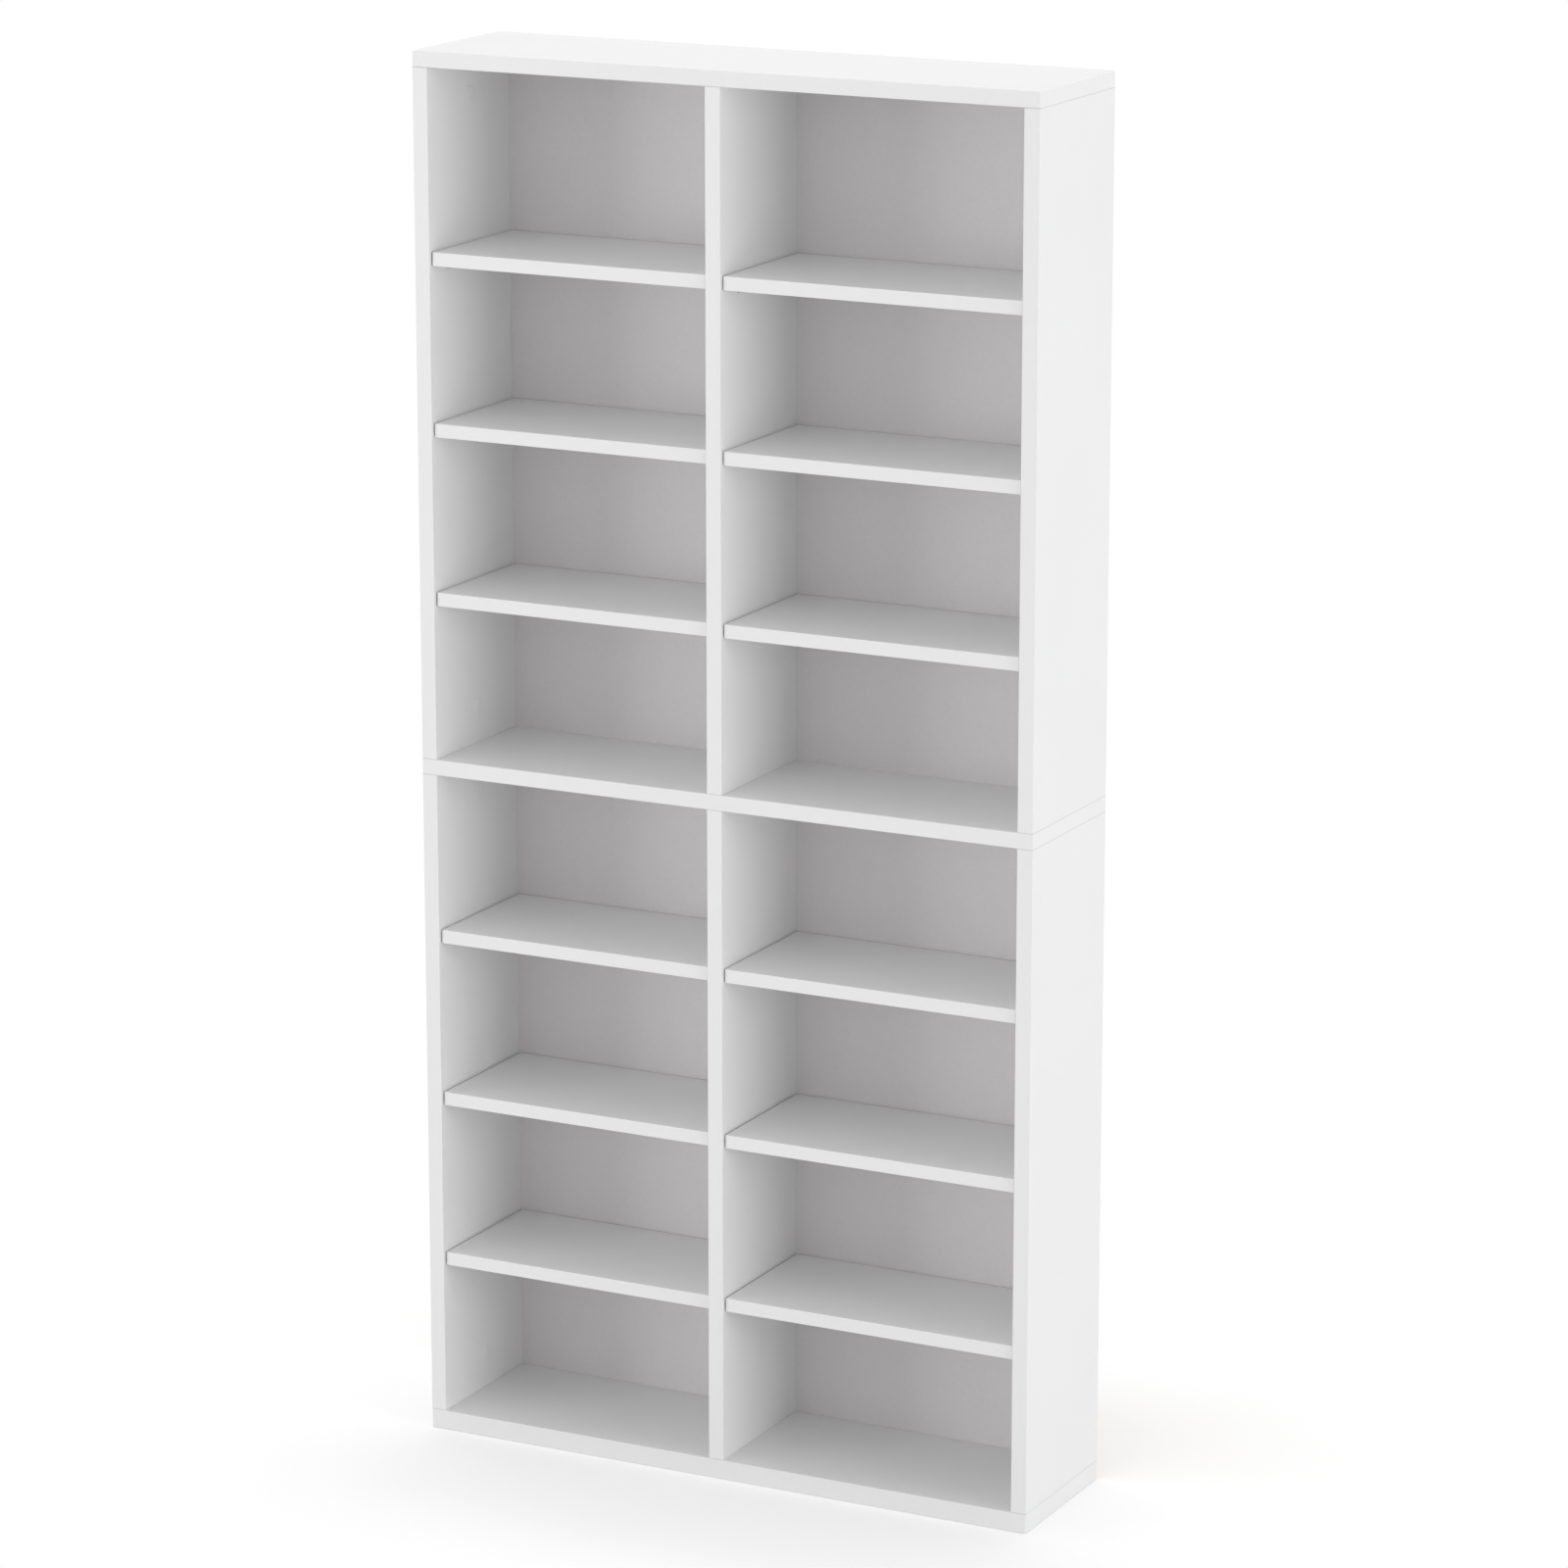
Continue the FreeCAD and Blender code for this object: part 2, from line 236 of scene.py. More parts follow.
def facing_share(tree: Tree, coordinates: Node, way: Facing) -> Socket:
    """Find the faces that look to the front or to the rear.

    Args:
        tree: Node tree of the material.
        coordinates: Its texture coordinate node.
        way: The way that the faces look.

    Returns:
        One on those faces, zero on the others.
    """
    normal = add_node(tree, "ShaderNodeSeparateXYZ", {0: coordinates.outputs["Normal"]})
    test = "LESS_THAN" if way is Facing.FRONT else "GREATER_THAN"
    inputs = {0: normal.outputs["Y"], 1: FACING * way.value}
    return add_node(tree, "ShaderNodeMath", inputs, operation=test).outputs[0]


@dataclass(frozen=True)
class Finish:
    """A real material and how its surface was made."""

    title: str
    slot: str
    colour: str
    shade: str
    roughness: float
    # How far the roughness goes up and down with the pattern
    gloss_spread: float = 0.05
    metallic: float = 0.0
    # A metal keeps this value, which is Blender's own
    ior: float = 1.5
    bump_mm: float = 0.05

    def make(self) -> bpy.types.Material:
        """Build the Blender material of this finish.

        Returns:
            The material, with its pattern in its nodes.
        """
        material = bpy.data.materials.new(self.title)
        tree = clear_tree(material)
        coordinates = add_node(tree, "ShaderNodeTexCoord")
        colour, roughness, height = self.pattern(tree, coordinates)
        relief = {"Height": height, "Distance": metres(self.bump_mm)}
        bump = add_node(tree, "ShaderNodeBump", relief)
        values = {
            "Base Color": colour,
            "Roughness": roughness,
            "Metallic": self.metallic,
            "IOR": self.ior,
            "Normal": bump.outputs[0],
        }
        shader = add_node(tree, "ShaderNodeBsdfPrincipled", values)
        add_node(tree, "ShaderNodeOutputMaterial", {"Surface": shader.outputs[0]})
        return material

    def tint(self, tree: Tree, share: Socket, height: Socket) -> Surface:
        """Let the colour and the gloss follow a pattern together.

        Args:
            tree: Node tree of the material.
            share: The pattern, from zero to one.
            height: The relief.

        Returns:
            The surface from the lighter, glossier state to the darker, duller one.
        """
        glossy = (to_linear(self.colour), self.roughness - self.gloss_spread, height)
        dull = (to_linear(self.shade), self.roughness + self.gloss_spread, height)
        return blend(tree, share, glossy, dull)

    def pattern(self, tree: Tree, coordinates: Node) -> Surface:
        """Draw the finish.

        Args:
            tree: Node tree of the material.
            coordinates: Its texture coordinate node.

        Returns:
            The surface.
        """
        raise NotImplementedError


@dataclass(frozen=True)
class MelamineBoard(Finish):
    """Chipboard pressed between melamine sheets, its front and ends with a plastic edge band."""

    # The real pearl grain is about 0.4 mm; it is drawn coarser so that it shows
    pearl_mm: float = 2.2
    patch_mm: float = 140.0
    band: str = "#EEEEEE"
    band_roughness: float = 0.34
    chip_mm: float = 2.4
    # How far the outline of a chip strays, and the fine fibres within it
    chip_tear_mm: float = 1.6
    chip_fibre_mm: float = 0.7
    chip_fibre_share: float = 0.45
    chip_light: str = "#CBAE86"
    chip_dark: str = "#94704A"
    chip_roughness: float = 0.9
    # Levels in metres where the boards meet; a thin darker strip on both of them is partly the
    # trace of the cut edge and partly painted shade in the joint
    joint_levels: tuple[float, ...] = ()
    joint_mm: float = 0.45
    joint: str = "#D8D8D9"

    def joint_shade_share(self, tree: Tree, coordinates: Node) -> Socket:
        """Find the thin strips along the joints, on the faces that stand upright, which take
        painted shade and the trace of the cut edge.

        Args:
            tree: Node tree of the material.
            coordinates: Its texture coordinate node.

        Returns:
            One within a strip, zero elsewhere.
        """
        place = add_node(tree, "ShaderNodeSeparateXYZ", {0: coordinates.outputs["Object"]})
        normal = add_node(tree, "ShaderNodeSeparateXYZ", {0: coordinates.outputs["Normal"]})
        steep = {0: normal.outputs["Z"], 1: 0.0, 2: FACING}
        upright = add_node(tree, "ShaderNodeMath", steep, operation="COMPARE")
        strips = add_node(tree, "ShaderNodeMath", {0: 0.0, 1: 0.0}, operation="MAXIMUM")
        for level in self.joint_levels:
            near = {0: place.outputs["Z"], 1: level, 2: metres(self.joint_mm)}
            strip = add_node(tree, "ShaderNodeMath", near, operation="COMPARE")
            pair = {0: strips.outputs[0], 1: strip.outputs[0]}
            strips = add_node(tree, "ShaderNodeMath", pair, operation="MAXIMUM")
        both = {0: strips.outputs[0], 1: upright.outputs[0]}
        return add_node(tree, "ShaderNodeMath", both, operation="MULTIPLY").outputs[0]

    def chips(self, tree: Tree, place: Socket) -> Surface:
        """Draw the torn chips of a sawn edge.

        Args:
            tree: Node tree of the material.
            place: Position on the bookcase.

        Returns:
            The surface.
        """
        fine = {"Vector": place, "Scale": per_metre(self.chip_fibre_mm), "Detail": GRAINY}
        fibres = add_node(tree, "ShaderNodeTexNoise", fine)
        stray = {0: fibres.outputs["Color"], "Scale": metres(self.chip_tear_mm)}
        shift = add_node(tree, "ShaderNodeVectorMath", stray, operation="SCALE")
        pair = {0: place, 1: shift.outputs[0]}
        torn = add_node(tree, "ShaderNodeVectorMath", pair, operation="ADD")
        cells = {"Vector": torn.outputs[0], "Scale": per_metre(self.chip_mm)}
        chips = add_node(tree, "ShaderNodeTexVoronoi", cells)
        tone = add_node(tree, "ShaderNodeSeparateColor", {0: chips.outputs["Color"]})
        layer = {
            SHARE: self.chip_fibre_share,
            NUMBER_A: tone.outputs[0],
            NUMBER_B: fibres.outputs[0],
        }
        share = add_node(tree, "ShaderNodeMix", layer).outputs[NUMBER_OUT]
        relief = chips.outputs["Distance"]
        light = (to_linear(self.chip_light), self.chip_roughness, relief)
        dark = (to_linear(self.chip_dark), self.chip_roughness, relief)
        return blend(tree, share, light, dark)

    def pattern(self, tree: Tree, coordinates: Node) -> Surface:
        """Draw pearl grain, patches, the edge band, painted shade along the joints and the chips of
        the rear edge.

        Args:
            tree: Node tree of the material.
            coordinates: Its texture coordinate node.

        Returns:
            The surface.
        """
        place = coordinates.outputs["Object"]
        grain = {"Vector": place, "Scale": per_metre(self.pearl_mm), "Detail": SOFT}
        pearl = add_node(tree, "ShaderNodeTexNoise", grain).outputs[0]
        clouds = {"Vector": place, "Scale": per_metre(self.patch_mm), "Detail": CLOUDY}
        patches = add_node(tree, "ShaderNodeTexNoise", clouds).outputs[0]
        front = facing_share(tree, coordinates, Facing.FRONT)
        rear = facing_share(tree, coordinates, Facing.REAR)
        joints = self.joint_shade_share(tree, coordinates)
        band = (to_linear(self.band), self.band_roughness, pearl)
        face = blend(tree, front, self.tint(tree, patches, pearl), band)
        # Painted shade, partly the trace of the cut edge: the joint tone darkens a thin strip along
        # each joint
        face = blend(tree, joints, face, (to_linear(self.joint), *face[1:]))
        return blend(tree, rear, face, self.chips(tree, place))


@dataclass(frozen=True)
class Hardboard(Finish):
    """Wet-process hardboard, lacquered white in front and raw behind."""

    peel_mm: float = 3.5
    # The real screen is about 1.2 mm; it is drawn coarser so that it shows
    screen_mm: float = 2.8
    fibre_mm: float = 1.6
    raw_light: str = "#A98259"
    raw_dark: str = "#66472C"
    raw_roughness: float = 0.85

    def pattern(self, tree: Tree, coordinates: Node) -> Surface:
        """Draw the lacquer in front, and the fibres and the screen's imprint behind.

        Args:
            tree: Node tree of the material.
            coordinates: Its texture coordinate node.

        Returns:
            The surface.
        """
        place = coordinates.outputs["Object"]
        grain = {"Vector": place, "Scale": per_metre(self.peel_mm), "Detail": SOFT}
        peel = add_node(tree, "ShaderNodeTexNoise", grain).outputs[0]
        felt = {"Vector": place, "Scale": per_metre(self.fibre_mm), "Detail": FELTED}
        fibres = add_node(tree, "ShaderNodeTexNoise", felt).outputs[0]
        weave = {"Vector": place, "Scale": WAVE_PERIOD * per_metre(self.screen_mm)}
        across = add_node(tree, "ShaderNodeTexWave", weave, bands_direction="X")
        upward = add_node(tree, "ShaderNodeTexWave", weave, bands_direction="Z")
        wires = {0: across.outputs["Fac"], 1: upward.outputs["Fac"]}
        screen = add_node(tree, "ShaderNodeMath", wires, operation="MULTIPLY").outputs[0]
        rear = facing_share(tree, coordinates, Facing.REAR)
        light = (to_linear(self.raw_light), self.raw_roughness, screen)
        dark = (to_linear(self.raw_dark), self.raw_roughness, screen)
        raw = blend(tree, fibres, light, dark)
        return blend(tree, rear, self.tint(tree, peel, peel), raw)


@dataclass(frozen=True)
class Grained(Finish):
    """A part that is a little uneven in tone and gloss, from its tool, its mould or its growth."""

    grain_mm: float = 0.8
    octaves: float = GRAINY
    # Less than one draws the grain out along an axis, more than one presses it together
    stretch: tuple[float, float, float] = (1.0, 1.0, 1.0)
    # Size of the dark rays across the grain; there are none at zero
    ray_mm: float = 0.0

    def pattern(self, tree: Tree, coordinates: Node) -> Surface:
        """Draw the grain, and the rays over it.

        Args:
            tree: Node tree of the material.
            coordinates: Its texture coordinate node.

        Returns:
            The surface.
        """
        drawn = {0: coordinates.outputs["Object"], "Scale": self.stretch}
        place = add_node(tree, "ShaderNodeMapping", drawn).outputs[0]
        marks = {"Vector": place, "Scale": per_metre(self.grain_mm), "Detail": self.octaves}
        share = grain = add_node(tree, "ShaderNodeTexNoise", marks).outputs[0]
        if self.ray_mm:
            cells = {"Vector": place, "Scale": per_metre(self.ray_mm)}
            rays = add_node(tree, "ShaderNodeTexVoronoi", cells).outputs["Distance"]
            pair = {0: grain, 1: rays}
            share = add_node(tree, "ShaderNodeMath", pair, operation="MULTIPLY").outputs[0]
        return self.tint(tree, share, grain)


@dataclass(frozen=True)
class Metal(Grained):
    """A plated or cast metal part."""

    gloss_spread: float = 0.08
    metallic: float = 1.0


@dataclass(frozen=True)
class TurnedWood(Grained):
    """Raw turned wood with straight grain along the piece and short dark rays."""

    gloss_spread: float = 0.08
    grain_mm: float = 0.9
    octaves: float = WOODY
    stretch: tuple[float, float, float] = (1.0, 1.0, 0.06)
    ray_mm: float = 1.4


def shelves_of(module: Module) -> list[tuple[str, Column]]:
    """List the shelves of a module.

    Args:
        module: The half of the bookcase.

    Returns:
        Name of each shelf and the compartments that it lies in.
    """
    return [
        (f"shelf_{module.value}_{column.value}_{step}", column)
        for column in Column
        for step in range(1, SHELVES_PER_STACK + 1)
    ]


def joint_levels() -> tuple[float, ...]:
    """Read from the CAD where the ends of the uprights meet the fixed boards.

    Returns:
        Levels in metres, lowest first.
    """
    levels = []
    for module in Module:
        low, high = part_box(f"{module.value}_{Upright.LEFT_SIDE.value}")
        levels += [low.z, high.z]
    return tuple(levels)


# Pressed against a pearl-grained plate: an even satin white without a sharp reflection. The core
# tints it in broad faint patches, the smoother band catches more light along the front, and the
# sawn rear edge shows brown chips
WHITE_MELAMINE = MelamineBoard(
    title="melamine_faced_chipboard",
    slot="white_board",
    colour="#EDEDED",
    shade="#EAEAEB",
    roughness=0.42,
    gloss_spread=0.04,
    bump_mm=0.05,
    joint_levels=joint_levels(),
)
# Rolled with white lacquer: a shade greyer than the boards, with a faint orange peel. The rear is
# brown felted fibre with the imprint of the wire screen that it was pressed on
LACQUERED_HARDBOARD = Hardboard(
    title="lacquered_hardboard",
    slot="back_hardboard",
    colour="#E0DDDE",
    shade="#DAD7D8",
    roughness=0.5,
    bump_mm=0.12,
)
# Tumbled, then plated: a warm bright metal that mirrors the boards, blurred a little
NICKEL_PLATED_STEEL = Metal(
    title="nickel_plated_steel",
    slot="pin_steel",
    colour="#D3D0CA",
    shade="#C9C6BF",
    roughness=0.3,
    gloss_spread=0.05,
    bump_mm=0.002,
    grain_mm=0.3,
)
# Cast and left as it came: a dull blue grey with a grainy skin
DIE_CAST_ZINC = Metal(
    title="die_cast_zinc",
    slot="cam_zinc",
    colour="#A9ACAE",
    shade="#94979A",
    roughness=0.48,
    bump_mm=0.04,
    grain_mm=1.2,
)
# Turned, then plated: a cold grey with fine rings from the tool
ZINC_PLATED_STEEL = Metal(
    title="zinc_plated_steel",
    slot="bolt_steel",
    colour="#BDC0C3",
    shade="#AAACA8",
    roughness=0.34,
    bump_mm=0.02,
    grain_mm=0.6,
    stretch=(1.0, 1.0, 6.0),
)
# Moulded in a spark-eroded mould: a matt white close to the boards, with a soft edge to its gloss
WHITE_POLYPROPYLENE = Grained(
    title="moulded_polypropylene",
    slot="cover_plastic",
    colour="#EBEBEA",
    shade="#E7E7E6",
    roughness=0.5,
    gloss_spread=0.06,
    ior=1.49,
    bump_mm=0.02,
    grain_mm=0.7,
    octaves=SOFT,
)
# Turned and left raw: a dry warm tan with lengthwise grain and small dark flecks
RAW_BEECH = TurnedWood(
    title="turned_beech", slot="beech", colour="#CDA67B", shade="#A67C52", roughness=0.62
)


def add_skin(
    mesh: BMesh, place: Matrix, rings: list[list[Vector]]
) -> list[list[bmesh.types.BMVert]]:
    """Close a solid over rings that hold the same number of points.

    Args:
        mesh: Mesh that the solid goes into.
        place: Moves the solid from the origin to its place.
        rings: Points in millimetres, ring after ring.

    Returns:
        The vertices, ring after ring.
    """
    loops = []
    for ring in rings:
        loops.append([mesh.verts.new(place @ (point / MM_PER_M)) for point in ring])
    for low, high in zip(loops, loops[1:]):
        for side in range(len(low)):
            after = (side + 1) % len(low)
            mesh.faces.new((low[side], low[after], high[after], high[side]))
    mesh.faces.new(list(reversed(loops[0])))
    mesh.faces.new(loops[-1])
    return loops


def ring_of(radii: list[float], level: float) -> list[Vector]:
    """Spread points evenly round the Z axis.

    Args:
        radii: Distance of each point from the axis in millimetres.
        level: Level of the ring in millimetres.

    Returns:
        The points in millimetres.
    """
    turns = [math.tau * side / len(radii) for side in range(len(radii))]
    return [
        Vector((radius * math.cos(turn), radius * math.sin(turn), level))
        for radius, turn in zip(radii, turns)
    ]


def add_turned(mesh: BMesh, place: Matrix, profile: list[tuple[float, float]], sides: int) -> None:
    """Turn a solid about its own Z axis.

    Args:
        mesh: Mesh that the solid goes into.
        place: Moves the solid from the origin to its place.
        profile: Radius and level pairs in millimetres, lowest first.
        sides: Faces round the axis.
    """
    add_skin(mesh, place, [ring_of([radius] * sides, level) for radius, level in profile])


def round_off(mesh: BMesh, edges: list[bmesh.types.BMEdge], round_mm: float, steps: int) -> None:
    """Round some edges of a mesh.

    Args:
        mesh: The mesh.
        edges: Its edges that are rounded.
        round_mm: Radius of the rounding in millimetres.
        steps: Faces across the rounding.
    """
    size = {"offset": metres(round_mm), "segments": steps, "profile": ROUND_PROFILE}
    bmesh.ops.bevel(mesh, geom=edges, affect="EDGES", **size)


@dataclass(frozen=True)
class EasedEdge:
    """A small rounding of every sharp edge, by modifiers that leave the CAD's own mesh as it is."""

    round_mm: float
    steps: int = 2
    weld_mm: float = 0.002
    flat_degrees: float = 0.5
    # Edges that turn by less than this stay, such as those between the flats of a bore
    corner_degrees: float = 50.0

    def ease(self, node: bpy.types.Object) -> None:
        """Join the faces, clean the flats and round the edges.

        Args:
            node: The node's object.
        """
        weld = node.modifiers.new("join_faces", "WELD")
        weld.merge_threshold = metres(self.weld_mm)
        flats = node.modifiers.new("clean_flats", "DECIMATE")
        flats.decimate_type = "DISSOLVE"
        flats.angle_limit = math.radians(self.flat_degrees)
        bevel = node.modifiers.new("eased_edges", "BEVEL")
        bevel.width = metres(self.round_mm)
        bevel.segments = self.steps
        bevel.limit_method = "ANGLE"
        bevel.angle_limit = math.radians(self.corner_degrees)


@dataclass
class SubAssembly:
    """Some pieces of the bookcase that are made and finished alike."""

    title: str
    pieces: list[bpy.types.Object] = field(default_factory=list)

    def build(self) -> None:
        """Make the shapes."""
        raise NotImplementedError

    def dress(self) -> None:
        """Give the shapes their finish."""
        raise NotImplementedError

    def ease(self, names: list[str], edge: EasedEdge) -> None:
        """Take CAD nodes as pieces and round their edges.

        Args:
            names: Names of the nodes.
            edge: The rounding.
        """
        for name in names:
            edge.ease(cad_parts[name])
            self.pieces.append(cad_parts[name])

    def keep(self, mesh: BMesh, name: str, stands_for: str, crease_degrees: float) -> None:
        """Turn a mesh into a piece of the case, with smooth curves and crisp corners.

        Args:
            mesh: The mesh, which is freed.
            name: Name of the piece.
            stands_for: Name of the CAD node that it replaces.
            crease_degrees: Edges that turn by more than this stay crisp.
        """
        bmesh.ops.recalc_face_normals(mesh, faces=mesh.faces)
        for face in mesh.faces:
            face.smooth = True
        data = bpy.data.meshes.new(name)
        mesh.to_mesh(data)
        mesh.free()
        data.set_sharp_from_angle(angle=math.radians(crease_degrees))
        piece = add_object(name, data)
        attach(piece, "case")
        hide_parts(stands_for)
        self.pieces.append(piece)

    def paint(self, finish: Finish, ending: str = "") -> None:
        """Give a finish to the pieces whose names have this ending.

        Args:
            finish: The finish.
            ending: End of the names; an empty one stands for every piece.
        """
        material = bpy.data.materials.get(finish.title) or finish.make()
        for piece in self.pieces:
            if not piece.name.endswith(ending):
                continue
            piece.data.materials.clear()
            piece.data.materials.append(material)

    def report(self) -> None:
        """Name each piece in the log."""
        for piece in self.pieces:
            LOG.info("%s: %s", self.title, piece.name)


@dataclass
class FixedBoards(SubAssembly):
    """The three boards across the case and the six uprights between them."""

    title: str = "fixed boards"
    edge: EasedEdge = EasedEdge(round_mm=0.5)

    def build(self) -> None:
        """Ease the edges, so that each joint shows as a fine line."""
        names = list(JOINT_BOARDS.values())
        names += [f"{module.value}_{upright.value}" for module in Module for upright in Upright]
        self.ease(names, self.edge)

    def dress(self) -> None:
        """Melamine on every board."""
        self.paint(WHITE_MELAMINE)


@dataclass
class LooseShelves(SubAssembly):
    """Twelve thinner boards that lie on pins."""

    title: str = "loose shelves"
    edge: EasedEdge = EasedEdge(round_mm=0.5)

    def build(self) -> None:
        """Ease the edges of each shelf."""
        for module in Module:
            self.ease([name for name, _ in shelves_of(module)], self.edge)

    def dress(self) -> None:
        """The same melamine as the fixed boards."""
        self.paint(WHITE_MELAMINE)


@dataclass
class BackPanels(SubAssembly):
    """Two thin panels in the grooves."""

    title: str = "back panels"
    edge: EasedEdge = EasedEdge(round_mm=0.2)

    def build(self) -> None:
        """Ease the sawn edges."""
        self.ease([f"{module.value}_back_panel" for module in Module], self.edge)

    def dress(self) -> None:
        """Lacquer in front, raw fibre behind."""
        self.paint(LACQUERED_HARDBOARD)


@dataclass
class ShelfPins(SubAssembly):
    """Pins in the uprights, each a round shank with a flat-topped tongue under a shelf."""

    title: str = "shelf pins"
    row_inset_mm: float = 35.0
    shank_radius_mm: float = 2.35
    # From the underside of the shelf down to the axis of the hole
    axis_drop_mm: float = 2.5
    shank_length_mm: float = 6.2
    shank_chamfer_mm: float = 0.5
    # How far the shank runs on inside the tongue
    shank_root_mm: float = 0.6
    sides: int = 32
    tongue_reach_mm: float = 8.0
    tongue_width_mm: float = 6.0
    tip_mm: float = 1.6
    foot_mm: float = 2.0
    height_mm: float = 6.5
    nose_round_mm: float = 2.2
    nose_steps: int = 6
    edge_round_mm: float = 0.35
    edge_steps: int = 3
    crease_degrees: float = 40.0

    def add_shank(self, mesh: BMesh, seat: Vector, way: int) -> None:
        """Turn the shank that sits in the upright.

        Args:
            mesh: Mesh that the shank goes into.
            seat: Point on the upright's face under the middle of the tongue's top.
            way: Which way the face looks along X.
        """
        radius, chamfer = self.shank_radius_mm, self.shank_chamfer_mm
        profile = [
            (radius - chamfer, -self.shank_length_mm),
            (radius, chamfer - self.shank_length_mm),
            (radius, self.shank_root_mm),
        ]
        centre = seat - Vector((0, 0, metres(self.axis_drop_mm)))
        place = Matrix.Translation(centre) @ Matrix.Rotation(QUARTER_TURN * way, 4, "Y")
        add_turned(mesh, place, profile, self.sides)

    def add_tongue(self, mesh: BMesh, seat: Vector, way: int) -> None:
        """Press the tongue, its nose rounded seen from above and its edges tumbled.

        Args:
            mesh: Mesh that the tongue goes into.
            seat: Point on the upright's face under the middle of the tongue's top.
            way: Which way the face looks along X.
        """
        reach, half = self.tongue_reach_mm, self.tongue_width_mm / 2
        outline = [
            (0, 0),
            (reach, 0),
            (reach, -self.tip_mm),
            (self.foot_mm, -self.height_mm),
            (0, -self.height_mm),
        ]
        tongue = bmesh.new()
        rings = [
            [Vector((way * out, across, drop)) for out, drop in outline] for across in (-half, half)
        ]
        loops = add_skin(tongue, Matrix.Translation(seat), rings)
        bmesh.ops.recalc_face_normals(tongue, faces=tongue.faces)
        nose = [tongue.edges.get((loop[1], loop[2])) for loop in loops]
        round_off(tongue, nose, self.nose_round_mm, self.nose_steps)
        crease = math.radians(self.crease_degrees)
        sharp = [edge for edge in tongue.edges if edge.calc_face_angle() > crease]
        round_off(tongue, sharp, self.edge_round_mm, self.edge_steps)
        data = bpy.data.meshes.new("tongue")
        tongue.to_mesh(data)
        tongue.free()
        mesh.from_mesh(data)
        bpy.data.meshes.remove(data)

    def seats(self, module: Module, shelf: str, column: Column) -> list[tuple[Vector, int]]:
        """Find where the four pins of a shelf meet the uprights.

        Args:
            module: The half of the bookcase.
            shelf: Name of the shelf.
            column: The compartments that the shelf lies in.

        Returns:
            For each pin the point on the upright's face and the way that the face looks.
        """
        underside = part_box(shelf)[0].z
        left, right = {
            Column.LEFT: (Upright.LEFT_SIDE, Upright.DIVIDER),
            Column.RIGHT: (Upright.DIVIDER, Upright.RIGHT_SIDE),
        }[column]
        walls = [
            (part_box(f"{module.value}_{left.value}")[1].x, 1),
            (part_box(f"{module.value}_{right.value}")[0].x, -1),
        ]
        inset = metres(self.row_inset_mm)
        rows = (CAD_BOX[0].y + inset, CAD_BOX[1].y - inset)
        return [(Vector((wall, row, underside)), way) for wall, way in walls for row in rows]

    def build(self) -> None:
        """Make the pins of each module."""
        for module in Module:
            mesh = bmesh.new()
            for shelf, column in shelves_of(module):
                for seat, way in self.seats(module, shelf, column):
                    self.add_shank(mesh, seat, way)
                    self.add_tongue(mesh, seat, way)
            name = f"{module.value}_stamped_pins"
            self.keep(mesh, name, f"{module.value}_shelf_pins", self.crease_degrees)
            even_flats = self.pieces[-1].modifiers.new("even_flats", "WEIGHTED_NORMAL")
            even_flats.keep_sharp = True

    def dress(self) -> None:
        """Nickel plating."""
        self.paint(NICKEL_PLATED_STEEL)


